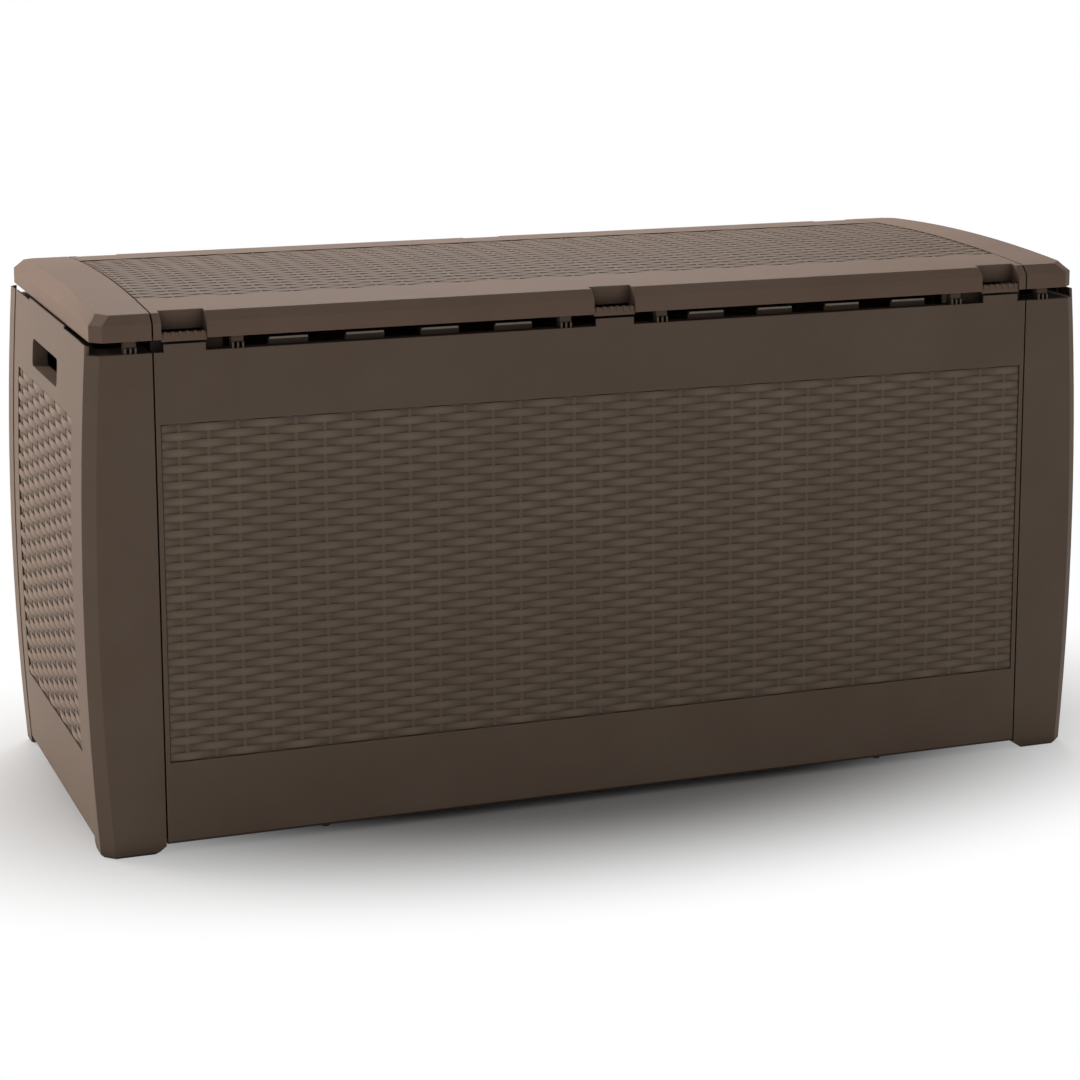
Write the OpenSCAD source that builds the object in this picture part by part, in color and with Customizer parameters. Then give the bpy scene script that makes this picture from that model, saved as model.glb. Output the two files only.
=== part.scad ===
// Deck storage box: a knock-down resin box for a terrace. Four corner posts carry four walls
// with a pressed weave, a ribbed floor panel drops between them, and a two-skin lid swings on
// three moulded hinges along the rear.
// Frame: the origin is on the ground under the middle of the box, +X runs along the length,
// +Y to the hinged rear and +Z up. Millimetres.

/* [Body] */
// Length over the bulging ends
body_l = 1200; // [1000:10:1500]
// Depth from the front face to the rear face
body_w = 482; // [420:2:600]
// Height of the walls' top edge above the ground
body_h = 552; // [450:2:700]
// How far the ends bulge out between their top and bottom edges
end_bulge = 10; // [5:0.5:16]
// Ground clearance under the walls
foot_h = 10; // [8:0.5:18]
// Thickness of every moulded wall skin
wall_t = 3; // [2.4:0.1:3.6]
// Depth of the ledges and returns around each wall
flange_d = 18; // [16:0.5:26]
// Visible joint between neighbouring panels
seam_gap = 1.8; // [0.8:0.1:2]
// Clearance between a piece and what it slots into
fit = 0.3; // [0.2:0.05:0.5]

/* [Corner posts] */
// Width of a post's front face at the bulge
post_w = 80; // [64:1:110]
// Depth of a post's side face
post_depth = 44; // [40:1:70]
// Bevel of a post's outer corner, seen from above
post_bevel = 13; // [8:0.5:16]
// Bevel on the inner sides of each foot
foot_bevel = 12; // [6:0.5:20]
// Bevel along the bottom edge of the walls and the feet
base_bevel = 3.5; // [2:0.5:4]
// Depth of the wall tongues behind the faces
tongue_d = 7; // [6:0.5:8]
// Thickness of the wall tongues
tongue_t = 2.6; // [2:0.1:3]
// Reach of the wall tongues into the posts
tongue_l = 8; // [5:0.5:12]

/* [Walls] */
// Height of the plain band below the weave, from the ground
inset_bottom = 102; // [60:1:150]
// Height of the plain band above the weave
inset_top_band = 77; // [66:1:110]
// Plain border at the sides of the long weave panels
inset_margin = 5; // [4:0.5:12]
// Plain border at the sides of the end weave panels
end_inset_margin = 30; // [10:1:50]
// Depth of the weave panels below the plain bands
inset_d = 2.5; // [1.5:0.1:3]
// Set-back of the end walls from the posts' side faces
end_set = 0.8; // [0.4:0.1:1.5]
// Spacing of the upright stiffening ribs
rib_pitch = 170; // [120:5:220]
// Thickness of the stiffening ribs
rib_t = 2.5; // [2:0.1:3.5]

/* [Hand holes] */
// Width of each hand hole
hole_w = 152; // [110:2:170]
// Height of each hand hole
hole_h = 32; // [28:1:36]
// Distance from the wall's top edge down to the hand hole
hole_drop = 29; // [22:1:34]
// Corner radius of the hand holes
hole_r = 7; // [4:0.5:12]

/* [Lid] */
// Set-back of the lid's ends from the bulge
lid_inset = 15; // [12:0.5:20]
// Height of the shadow gap between walls and lid
lid_gap = 13.5; // [12:0.5:18]
// Height of the lid's upright skirt
skirt_h = 17.5; // [14:0.5:30]
// Size of the bevel above the skirt
lid_bevel = 10; // [6:0.5:14]
// Rise of the crowned top
lid_crown = 8; // [4:0.5:16]
// Corner cut of the lid, seen from above
lid_corner = 12; // [8:0.5:20]
// Thickness of the lid's top skin
lid_t = 3; // [2.4:0.1:3.5]
// Plain border in front of and behind the lid's weave
lid_border = 81; // [60:1:110]
// Depth of the lid's weave panel
lid_inset_d = 2; // [1:0.1:2.5]
// Thickness of the underside liner
liner_t = 2.2; // [2:0.1:3]

/* [Finger recesses] */
// Width of each recess in the lid's edge
recess_w = 49; // [46:1:70]
// Depth of each recess from the lid's face
recess_d = 20; // [18:0.5:26]
// Distance of the outer recesses from the post seams
recess_side = 34; // [30:1:60]
// Width of the tab under each front recess
tab_w = 45; // [30:1:46]
// Height of each tab above the wall
tab_h = 8.5; // [5:0.5:9]
// Height of the grip strip in each front recess
strip_h = 9; // [7:0.5:11]
// Depth of the grip strip
strip_d = 9; // [6:0.5:11]

/* [Hinges] */
// Radius of the hinge pins
pin_r = 3; // [2.5:0.1:3.5]
// Radial clearance around the hinge pins
pin_fit = 0.06; // [0.03:0.01:0.1]
// Outer radius of the hinge knuckles
knuckle_r = 6.5; // [5.5:0.1:7]
// Distance of the hinge axis in from the rear face
hinge_in = 7; // [7:0.1:8]
// Height of the hinge axis above the walls
hinge_up = 10; // [9.5:0.1:10.5]
// Width of the lid's knuckle
knuckle_w = 22; // [16:1:24]
// Width of each ear on the rear wall
ear_w = 8; // [5:0.5:9]

/* [Lid rests] */
// Width of the upstands behind the shadow gap
upstand_w = 44; // [30:1:60]
// Spacing of the upstands
upstand_pitch = 85; // [75:1:88]
// Height of the upstands above the walls
upstand_h = 7; // [5:0.5:9]
// Depth of the upstands behind the wall faces
upstand_d = 13; // [11:0.5:14]
// Offset of each rest from the middle of its recess
rest_offset = 57.5; // [44:0.5:60]
// Height of the rest ribs above the walls
rest_h = 6.5; // [4:0.5:7]
// Gap between the lid and the raised rims along the ends
end_gap = 4; // [3.5:0.5:8]
// Width of the raised middle of each end
end_tab_w = 214; // [120:2:300]
// Extra height of the raised middle
end_tab_h = 3; // [1:0.5:3]

/* [Floor] */
// Thickness of the floor panel
floor_t = 3.5; // [3:0.1:5]
// Depth of the ribs under the floor panel
floor_rib_h = 7; // [4:0.5:7.5]
// Spacing of the lengthwise ribs under the floor
floor_rib_pitch = 75; // [50:1:80]

/* [Screws] */
// Radius of the screws' shanks
screw_r = 2; // [1.6:0.1:2.2]
// Radius of the screws' pan heads
head_r = 4; // [3:0.1:4.2]
// Height of the screws' pan heads
head_h = 2.2; // [1.8:0.1:2.4]
// Clearance of the screws in their holes
screw_fit = 0.05; // [0.03:0.01:0.1]
// Wall left around each screw in its boss
boss_t = 2.5; // [2:0.1:3]

/* [Hidden] */

resin = "#8a7b6f";
liner_resin = "#5c534b";
steel = "#b9bcc0";

// Body
half_l = body_l / 2;
half_w = body_w / 2;
past = 1;
far = 40;
bow_r = body_h * body_h / (8 * end_bulge) + end_bulge / 2;
bow_sweep = 2 * asin(0.6 * body_h / bow_r);
bow_fn = 1440;
round_fn = 48;
seam_x = half_l - post_w;
post_y = half_w - post_depth;
wall_edge = seam_x - seam_gap / 2;
end_edge = post_y - seam_gap / 2;
inset_z0 = inset_bottom;
inset_z1 = body_h - inset_top_band;
floor_z = foot_h + wall_t + fit;
floor_top = floor_z + floor_t;
floor_rib_end = 20;
rib_set = 2;
rib_in = flange_d - rib_set;
rib_edge = 30;
rib_count = floor(2 * (wall_edge - rib_edge) / rib_pitch) + 1;
rib_x = [for (i = [0 : rib_count - 1]) (i - (rib_count - 1) / 2) * rib_pitch];
bay_x = [for (i = [0 : rib_count - 2]) (rib_x[i] + rib_x[i + 1]) / 2];
end_rib_side = 24;
end_rib_y = hole_w / 2 + end_rib_side;
tongue_end = 10;
tongue_z0 = foot_h + tongue_end;
tongue_z1 = body_h - tongue_end;
rim_t = 2;
rim_past = 2;

// Hand holes
hole_z1 = body_h - hole_drop;
hole_z0 = hole_z1 - hole_h;

// Lid
lid_x = half_l - lid_inset;
lid_z = body_h + lid_gap;
end_top = lid_z - end_gap;
rim_top = lid_z - 1;
skirt_top = lid_z + skirt_h;
crown_chord = half_w - lid_bevel;
crown_steps = 12;
crown_r = (crown_chord * crown_chord + lid_crown * lid_crown) / (2 * lid_crown);
lid_top = skirt_top + lid_bevel + lid_crown;
liner_lift = 0.5;
liner_z = lid_z + liner_lift;
liner_top = liner_z + liner_t;
liner_rib_z = skirt_top;
liner_rib_gap = 2;
web_gap = 1.5;
web_z = liner_rib_z + web_gap;
lid_tongue_l = 16;
lid_tongue_w = 40;

// Recesses, rests and hinges
recess_x = seam_x - recess_side;
recess_places = [-recess_x, 0, recess_x];
rest_rib_t = 2;
rest_rib_pitch = 5.5;
rest_w = 2 * rest_rib_pitch + rest_rib_t;
wall_rest_x = [-recess_x + rest_offset, -rest_offset, rest_offset, recess_x - rest_offset];
post_rest_x = max(recess_x + rest_offset, seam_x + rest_w);
rest_x = concat([-post_rest_x], wall_rest_x, [post_rest_x]);
rest_y0 = 1;
rest_y1 = 15;
rear_rest_y0 = hinge_in + rest_rib_t;
lug_y0 = lid_t + 2 * fit;
strip_drop = 2.5;
strip_z = lid_z - strip_drop;
strip_face = 1.5;
grip_out = 0.9;
grip_w = 3;
grip_ribs = 6;
slot_rise = 1;
peg_t = 4;
clip_t = 0.8;
clip_leg = 1.2;
clip_in = 1;
hinge_y = half_w - hinge_in;
hinge_z = body_h + hinge_up;
knuckle_gap = 0.5;
front_rim_y = half_w - post_bevel + rim_past;
rear_rim_y = hinge_y - 1;

// Screws
screw_hole_r = screw_r + screw_fit;
boss_r = screw_hole_r + boss_t;
floor_screw_in = 11;
wall_screw_in = 13.6;
screw_inset = 40;
wall_screw_z = [inset_z0 + screw_inset, inset_z1 - screw_inset];
lid_screw_grip = 12;
lid_screw_l = liner_t + lid_screw_grip;
cap_screw_x = (seam_x + lid_x) / 2;
cap_screw_y = [-140, -50, 50, 140];
panel_screw_x = recess_x / 2;
panel_screw_y = half_w - screw_inset;

// Distance from the middle of the box out to the bulging end face at height z.
function end_x(z) = half_l - bow_r + sqrt(bow_r * bow_r - (z - body_h / 2) * (z - body_h / 2));
// Depth coordinate of a point d behind the front face.
function front(d) = -half_w + d;

module block(low, high) {
    translate(low) cube(high - low);
}

// Extrudes a drawing of the y-z plane from x0 to x1.
module along_x(x0, x1) {
    translate([x0, 0, 0]) rotate([90, 0, 90]) linear_extrude(x1 - x0) children();
}

// Extrudes a drawing of the x-z plane from y0 to y1.
module along_y(y0, y1) {
    translate([0, y1, 0]) rotate([90, 0, 0]) linear_extrude(y1 - y0) children();
}

module mirrored_x() {
    children();
    mirror([1, 0, 0]) children();
}

module mirrored_y() {
    children();
    mirror([0, 1, 0]) children();
}

// Sweeps a plan drawing along the bulge of the right end, and keeps it from z0 to z1.
module bowed(z0, z1) {
    intersection() {
        translate([half_l - bow_r, 0, body_h / 2])
            rotate([-90, 0, 0])
                rotate([0, 0, -bow_sweep / 2])
                    rotate_extrude(angle = bow_sweep, $fn = bow_fn)
                        translate([bow_r - half_l, 0]) children();
        block([0, -body_w, z0], [body_l, body_w, z1]);
    }
}

// Plan rectangle from d0 to d1 behind the end face and from y0 to y1.
module end_strip(d0, d1, y0, y1) {
    translate([half_l - d1, y0]) square([d1 - d0, y1 - y0]);
}

// Screw with its head at the origin and its shank along +Z.
module screw(shank) {
    cylinder(h = shank, r = screw_r, $fn = round_fn);
    translate([0, 0, -head_h]) cylinder(h = head_h, r = head_r, $fn = round_fn);
}

module screw_hole(length) {
    translate([0, 0, -past]) cylinder(h = length + 2 * past, r = screw_hole_r, $fn = round_fn);
}

module floor_screw_places() {
    for (x = bay_x, side = [-1, 1])
        translate([x, side * (half_w - floor_screw_in), 0]) children();
    for (side = [-1, 1], y = [-end_rib_y / 2, end_rib_y / 2])
        translate([side * (end_x(foot_h) - end_set - floor_screw_in), y, 0]) children();
}

// Screws through the returns of one quarter's walls into its post, along +X and then along +Y.
module wall_screw_places_x() {
    for (z = wall_screw_z)
        translate([wall_edge - wall_t, half_w - wall_screw_in, z]) rotate([0, 90, 0]) children();
}

module wall_screw_places_y() {
    for (z = wall_screw_z)
        translate([end_x(z) - wall_screw_in, end_edge - wall_t, z]) rotate([-90, 0, 0]) children();
}

module lid_screw_places() {
    for (side = [-1, 1], y = cap_screw_y)
        translate([side * cap_screw_x, y, liner_z]) children();
    for (sx = [-1, 1], sy = [-1, 1])
        translate([sx * panel_screw_x, sy * panel_screw_y, liner_z]) children();
}

// Three upright ribs that carry one lug of the lid, starting y0 behind the front face.
module rest_ribs(x, y0) {
    for (i = [-1 : 1])
        translate([x + i * rest_rib_pitch - rest_rib_t / 2, front(y0), body_h - wall_t])
            cube([rest_rib_t, rest_y1 - y0, wall_t + rest_h]);
}

module upstand_places() {
    for (side = [-1, 1], i = [-1.5 : 1.5])
        translate([side * recess_x / 2 + i * upstand_pitch, 0, 0]) children();
}

// Long wall in the front position: skin, sunk weave field, ledges, returns, ribs and tongues.
module long_wall(rest_from) {
    inset_x = wall_edge - inset_margin;
    difference() {
        union() {
            block([-wall_edge, front(0), foot_h], [wall_edge, front(wall_t), body_h]);
            block([-inset_x - wall_t, front(inset_d), inset_z0 - wall_t],
                [inset_x + wall_t, front(inset_d + wall_t), inset_z1 + wall_t]);
            block([-wall_edge, front(0), foot_h], [wall_edge, front(flange_d), foot_h + wall_t]);
            block([-wall_edge, front(0), body_h - wall_t], [wall_edge, front(flange_d), body_h]);
            mirrored_x() {
                block([wall_edge - wall_t, front(0), floor_top + fit],
                    [wall_edge, front(flange_d), body_h]);
                block([wall_edge - wall_t, front(tongue_d), tongue_z0],
                    [wall_edge + tongue_l, front(tongue_d + tongue_t), tongue_z1]);
            }
            for (x = rib_x)
                block([x - rib_t / 2, front(wall_t - past), floor_top + fit],
                    [x + rib_t / 2, front(rib_in), body_h - wall_t / 2]);
            upstand_places()
                block([-upstand_w / 2, front(upstand_d), body_h - wall_t],
                    [upstand_w / 2, front(upstand_d + wall_t), body_h + upstand_h]);
            for (x = wall_rest_x) rest_ribs(x, rest_from);
            for (x = bay_x)
                translate([x, front(floor_screw_in), foot_h - wall_t])
                    cylinder(h = 2 * wall_t, r = boss_r, $fn = round_fn);
        }
        block([-inset_x, front(-past), inset_z0], [inset_x, front(inset_d), inset_z1]);
        mirror([0, 1, 0]) along_x(-wall_edge - past, wall_edge + past) base_cut(half_w, foot_h);
        for (x = bay_x)
            translate([x, front(floor_screw_in), foot_h - wall_t]) screw_hole(2 * wall_t);
        mirrored_x() mirror([0, 1, 0]) wall_screw_places_x() screw_hole(wall_t);
    }
}

module front_wall() {
    color(resin) {
        long_wall(rest_y0);
        for (x = recess_places)
            block([x - tab_w / 2, front(0), body_h - wall_t],
                [x + tab_w / 2, front(wall_t), body_h + tab_h]);
        mirrored_x()
            block([recess_x - rest_offset + rest_w, front(flange_d - wall_t), body_h - wall_t],
                [wall_edge, front(flange_d), rim_top]);
    }
}

// Ear of a hinge in section: a post up from the wall's ledge with a round head.
module ear_section() {
    translate([hinge_y - knuckle_r, body_h - wall_t])
        square([2 * knuckle_r, hinge_z - body_h + wall_t]);
    translate([hinge_y, hinge_z]) circle(r = knuckle_r, $fn = round_fn);
}

module pin_bores() {
    for (x = recess_places)
        translate([x - recess_w / 2, hinge_y, hinge_z]) rotate([0, 90, 0])
            cylinder(h = recess_w, r = pin_r + pin_fit, $fn = round_fn);
}

module rear_wall() {
    ear_x = knuckle_w / 2 + knuckle_gap;
    color(resin) difference() {
        union() {
            rotate([0, 0, 180]) long_wall(rear_rest_y0);
            for (x = recess_places)
                translate([x, 0, 0]) mirrored_x() along_x(ear_x, ear_x + ear_w) ear_section();
        }
        pin_bores();
    }
}

// Folded clips that guard the top edges of the upstands on both long walls.
module edge_clips() {
    x1 = upstand_w / 2 - clip_in;
    y0 = front(upstand_d - fit);
    y1 = front(upstand_d + wall_t + fit);
    top = body_h + upstand_h;
    color(steel) mirrored_y() upstand_places() difference() {
        block([-x1, y0 - clip_t, top - clip_leg], [x1, y1 + clip_t, top + fit + clip_t]);
        block([-x1 - past, y0, top - clip_leg - past], [x1 + past, y1, top + fit]);
    }
}

// Hand hole outline in the y-z plane, grown by g.
module hole_outline(g) {
    r = hole_r + g;
    for (y = [-1, 1], z = [hole_z0 + hole_r, hole_z1 - hole_r])
        translate([y * (hole_w / 2 - hole_r), z]) circle(r = r, $fn = round_fn);
    translate([-hole_w / 2 - g, hole_z0 + hole_r]) square([hole_w + 2 * g, hole_h - 2 * hole_r]);
    translate([-hole_w / 2 + hole_r, hole_z0 - g])
        square([hole_w - 2 * hole_r, hole_h + 2 * g]);
}

// End wall in the right position, bowed like the posts' side faces.
module end_wall() {
    inset_y = end_edge - end_inset_margin;
    s = end_set;
    deep = s + flange_d;
    difference() {
        union() {
            bowed(foot_h, body_h) end_strip(s, s + wall_t, -end_edge, end_edge);
            bowed(inset_z0 - wall_t, inset_z1 + wall_t)
                end_strip(s + inset_d, s + inset_d + wall_t, -inset_y - wall_t, inset_y + wall_t);
            bowed(foot_h, foot_h + wall_t) end_strip(s, deep, -end_edge, end_edge);
            bowed(body_h - wall_t, body_h) end_strip(s, deep, -end_edge, end_edge);
            mirrored_y() {
                bowed(floor_top + fit, body_h) end_strip(s, deep, end_edge - wall_t, end_edge);
                bowed(tongue_z0, tongue_z1)
                    end_strip(tongue_d, tongue_d + tongue_t, end_edge - wall_t,
                        end_edge + tongue_l);
                bowed(floor_top + fit, body_h - wall_t / 2)
                    end_strip(s + wall_t / 2, s + rib_in, end_rib_y - rib_t / 2,
                        end_rib_y + rib_t / 2);
            }
            bowed(floor_top + fit, hole_z0 - wall_t / 2)
                end_strip(s + wall_t / 2, s + rib_in, -rib_t / 2, rib_t / 2);
            intersection() {
                along_x(end_x(hole_z0) - deep, half_l) hole_outline(wall_t);
                bowed(foot_h, body_h) end_strip(s + wall_t / 2, deep, -end_edge, end_edge);
            }
            bowed(body_h - wall_t, end_top) end_strip(s, s + rim_t, -end_edge, end_edge);
            bowed(body_h - wall_t, end_top + end_tab_h)
                end_strip(s, s + rim_t, -end_tab_w / 2, end_tab_w / 2);
            for (y = [-end_rib_y / 2, end_rib_y / 2])
                translate([end_x(foot_h) - s - floor_screw_in, y, foot_h - wall_t])
                    cylinder(h = 2 * wall_t, r = boss_r, $fn = round_fn);
        }
        bowed(inset_z0, inset_z1) end_strip(-past, s + inset_d, -inset_y, inset_y);
        along_x(end_x(hole_z0) - deep - far, half_l + past) hole_outline(0);
        along_y(-end_edge - past, end_edge + past) base_cut(end_x(foot_h) - s, foot_h);
        for (y = [-end_rib_y / 2, end_rib_y / 2])
            translate([end_x(foot_h) - s - floor_screw_in, y, foot_h - wall_t])
                screw_hole(2 * wall_t);
        mirrored_y() wall_screw_places_y() screw_hole(wall_t);
    }
}

module left_end_wall() {
    color(resin) mirror([1, 0, 0]) end_wall();
}

module right_end_wall() {
    color(resin) end_wall();
}

// Plan of a post set in by t from its outer faces, reaching in to depth y_in.
module post_plan(t, y_in) {
    x0 = seam_x - 2 * end_bulge;
    x1 = half_l - t;
    y1 = half_w - t;
    c = post_bevel - t * tan(22.5) * sqrt(2);
    polygon([[x0, y_in], [x1, y_in], [x1, y1 - c], [x1 - c, y1], [x0, y1]]);
}

// What the bevel along a bottom edge cuts away, for an outer face at d and a bottom at z.
module base_cut(d, z) {
    polygon([[d - base_bevel - past, z - past], [d + past, z - past],
        [d + past, z + base_bevel + past]]);
}

// What the bevel on one inner side of a foot cuts away, for an inner face at d and a bevel of
// height rise. The cut runs past both faces by a share of its size.
module foot_cut(d, rise) {
    over = 0.2;
    polygon([[d - over * foot_bevel, -over * rise], [d + (1 + over) * foot_bevel, -over * rise],
        [d - over * foot_bevel, (1 + over) * rise]]);
}

// Outer form of a post. Above body_h only a rim stands along its side face, out to rim_y.
module post_form(face, side, rim_y) {
    difference() {
        intersection() {
            bowed(0, end_top) post_plan(0, side);
            block([face, 0, 0], [body_l, body_w, end_top + past]);
        }
        bowed(body_h, end_top + past) post_plan(rim_t, side - past);
        block([face - past, rim_y, body_h], [body_l, body_w, end_top + past]);
    }
}

// Post in the rear right position: a box section with slots for both walls and a bevelled foot.
// Its rest ribs start rest_from behind the face of the long wall beside it, and the rim along its
// side face ends at rim_y.
module post(rest_from, rim_y) {
    face = seam_x + seam_gap / 2;
    side = post_y + seam_gap / 2;
    difference() {
        union() {
            post_form(face, side, rim_y);
            mirror([0, 1, 0]) rest_ribs(post_rest_x, rest_from);
        }
        intersection() {
            bowed(foot_h + wall_t, body_h - wall_t) post_plan(wall_t, side + wall_t);
            block([face + wall_t, 0, 0], [body_l, body_w, body_h]);
        }
        along_x(face - past, body_l) base_cut(half_w, 0);
        along_y(side - past, body_w) base_cut(end_x(0), 0);
        rotate([0, 0, 45]) along_y(-body_w, body_w)
            base_cut((end_x(0) + half_w - post_bevel) / sqrt(2), 0);
        block([face - past, half_w - tongue_d - tongue_t - fit, tongue_z0 - fit],
            [face + wall_t + past, half_w - tongue_d + fit, tongue_z1 + fit]);
        bowed(tongue_z0 - fit, tongue_z1 + fit)
            end_strip(tongue_d - fit, tongue_d + tongue_t + fit, side - past, side + wall_t + past);
        along_y(side - past, half_w + past) foot_cut(face, foot_h - past);
        along_x(face - past, body_l) foot_cut(side, foot_h - 2 * past);
        wall_screw_places_x() screw_hole(2 * wall_t + seam_gap);
        wall_screw_places_y() screw_hole(2 * wall_t + seam_gap);
    }
}

module front_left_post() {
    color(resin) mirror([1, 0, 0]) mirror([0, 1, 0]) post(rest_y0, front_rim_y);
}

module front_right_post() {
    color(resin) mirror([0, 1, 0]) post(rest_y0, front_rim_y);
}

module rear_left_post() {
    color(resin) mirror([1, 0, 0]) post(rear_rest_y0, rear_rim_y);
}

module rear_right_post() {
    color(resin) post(rear_rest_y0, rear_rim_y);
}

// Floor panel: a plate on the walls' ledges, notched around the posts and ribbed below.
module floor_panel() {
    x1 = end_x(foot_h) - end_set - wall_t - fit;
    y1 = half_w - wall_t - fit;
    rib_x1 = end_x(foot_h) - end_set - flange_d - 2 * fit;
    rib_rows = floor((post_y - floor_rib_end) / floor_rib_pitch);
    rib_z = floor_z - floor_rib_h;
    color(resin) difference() {
        union() {
            block([-x1, -y1, floor_z], [x1, y1, floor_top]);
            for (i = [-rib_rows : rib_rows])
                block([-rib_x1, i * floor_rib_pitch - rib_t / 2, rib_z],
                    [rib_x1, i * floor_rib_pitch + rib_t / 2, floor_z + fit]);
            for (x = bay_x)
                block([x - rib_t / 2, -rib_rows * floor_rib_pitch, rib_z],
                    [x + rib_t / 2, rib_rows * floor_rib_pitch, floor_z + fit]);
        }
        mirrored_x() mirrored_y()
            block([seam_x + seam_gap / 2 - fit, post_y + seam_gap / 2 - fit, 0],
                [body_l, body_w, floor_top + past]);
        translate([0, 0, floor_z]) floor_screw_places() screw_hole(floor_t);
    }
}

module floor_screws() {
    color(steel) translate([0, 0, floor_top])
        floor_screw_places() rotate([180, 0, 0]) screw(floor_top - foot_h + wall_t);
}

module wall_screws() {
    color(steel) mirrored_x() mirrored_y() {
        wall_screw_places_x() screw(3 * wall_t);
        wall_screw_places_y() screw(3 * wall_t);
    }
}

// Skirts and bevels of the lid's cross-section, inset by t, with the top still uncut.
module skirt_section(t) {
    y1 = half_w - t;
    z1 = skirt_top - t * tan(22.5);
    rise = lid_bevel + lid_crown + past;
    polygon([[-y1, lid_z - past], [-y1, z1], [-y1 + rise, z1 + rise],
        [y1 - rise, z1 + rise], [y1, z1], [y1, lid_z - past]]);
}

// Lid's cross-section in the y-z plane, inset by t on every side but the open bottom.
module lid_section(t) {
    intersection() {
        skirt_section(t);
        translate([0, lid_top - crown_r]) circle(r = crown_r - t, $fn = bow_fn);
    }
}

// Everything under an end cap's top, inset by t. The crown keeps its full height as far as the end
// bevel, which falls from that curve to the skirt's straight top edge.
module cap_top(t) {
    x0 = seam_x + seam_gap / 2 - t;
    x1 = lid_x - lid_bevel - t * tan(22.5);
    x2 = lid_x - t;
    z2 = skirt_top - t * tan(22.5);
    y1 = crown_chord - t * tan(22.5);
    r = crown_r - t;
    base = skirt_top + lid_bevel - t;
    crown = [for (j = [-crown_steps : crown_steps])
        let (y = y1 * j / crown_steps) [y, base + sqrt(r * r - y * y) - sqrt(r * r - y1 * y1)]];
    edge = concat([[-body_w, base]], crown, [[body_w, base]]);
    low = lid_z - 2 * past;
    points = [for (e = edge)
        each [[x0, e[0], low], [x0, e[0], e[1]], [x1, e[0], e[1]], [x2, e[0], z2], [x2, e[0], low]]];
    sides = 5;
    last = sides * (len(edge) - 1);
    skin = [for (k = [0 : sides : last - 1], i = [0 : sides - 1])
        let (j = (i + 1) % sides)
        each [[k + i, k + sides + j, k + j], [k + i, k + sides + i, k + sides + j]]];
    polyhedron(points,
        concat(skin, [[0, 1, 2, 3, 4], [last + 4, last + 3, last + 2, last + 1, last]]));
}

// What the facets of one corner cut away, for a form inset by t.
module corner_cut(t) {
    u = (lid_x + half_w - lid_corner) / sqrt(2) - t;
    z1 = skirt_top - t * tan(27.4);
    rise = lid_bevel + lid_crown + past;
    rotate([0, 0, 45]) along_y(-body_w, body_w)
        polygon([[u, lid_z - 2 * past], [u, z1], [u - rise * sqrt(2), z1 + rise],
            [u + far, z1 + rise], [u + far, lid_z - 2 * past]]);
}

// Right half of the lid's outer form from x0 outwards, inset by t. Its top and its end bevel
// aren't cut yet, and its open bottom runs down to z0.
module lid_form(t, x0, z0) {
    difference() {
        intersection() {
            along_x(x0, lid_x - t) skirt_section(t);
            block([x0, -body_w, z0], [body_l, body_w, 2 * body_h]);
        }
        mirrored_y() corner_cut(t);
    }
}

// Form of the right end cap, inset by t. Its seam side is set out by t, so that an inner form
// leaves it open.
module cap_form(t, z0) {
    intersection() {
        lid_form(t, seam_x + seam_gap / 2 - t, z0);
        cap_top(t);
    }
}

// Centre panel in section: skin, skirts and the sunk weave field.
module centre_section() {
    field = half_w - lid_border;
    difference() {
        union() {
            difference() {
                lid_section(0);
                lid_section(lid_t);
            }
            intersection() {
                translate([-field - lid_t, skirt_top]) square([2 * (field + lid_t), far]);
                difference() {
                    lid_section(lid_t / 2);
                    translate([0, lid_top - crown_r])
                        circle(r = crown_r - lid_t - lid_inset_d, $fn = bow_fn);
                }
            }
        }
        difference() {
            translate([-field, skirt_top]) square([2 * field, far]);
            translate([0, lid_top - crown_r]) circle(r = crown_r - lid_inset_d, $fn = bow_fn);
        }
        translate([-half_w - past, lid_z - far]) square([body_w + 2 * past, far]);
    }
}

// Walls of one recess in the front position, in the middle of the lid.
module recess_walls() {
    intersection() {
        along_x(-recess_w / 2 - lid_t, recess_w / 2 + lid_t) lid_section(0);
        difference() {
            block([-recess_w / 2 - lid_t, front(0), lid_z],
                [recess_w / 2 + lid_t, front(recess_d + lid_t), lid_top]);
            block([-recess_w / 2, front(-past), lid_z - past],
                [recess_w / 2, front(recess_d), lid_top + past]);
        }
    }
}

module recess_void() {
    block([-recess_w / 2, front(-past), lid_z - past],
        [recess_w / 2, front(recess_d), lid_top + past]);
}

// Knuckle in section: a round eye with an arm back to the recess wall.
module knuckle_section() {
    wall_y = half_w - recess_d;
    translate([hinge_y, hinge_z]) circle(r = knuckle_r, $fn = round_fn);
    translate([wall_y - lid_t / 2, lid_z]) square([hinge_y - wall_y + lid_t / 2,
        hinge_z + knuckle_r - lid_z]);
}

module peg_slot(x, grow) {
    block([x - recess_w / 2 - lid_t, front(strip_d / 2 - peg_t / 2 - grow),
            strip_z + strip_h / 2 - peg_t / 2 - grow],
        [x + recess_w / 2 + lid_t, front(strip_d / 2 + peg_t / 2 + grow),
            strip_z + strip_h / 2 + peg_t / 2 + grow]);
}

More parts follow.
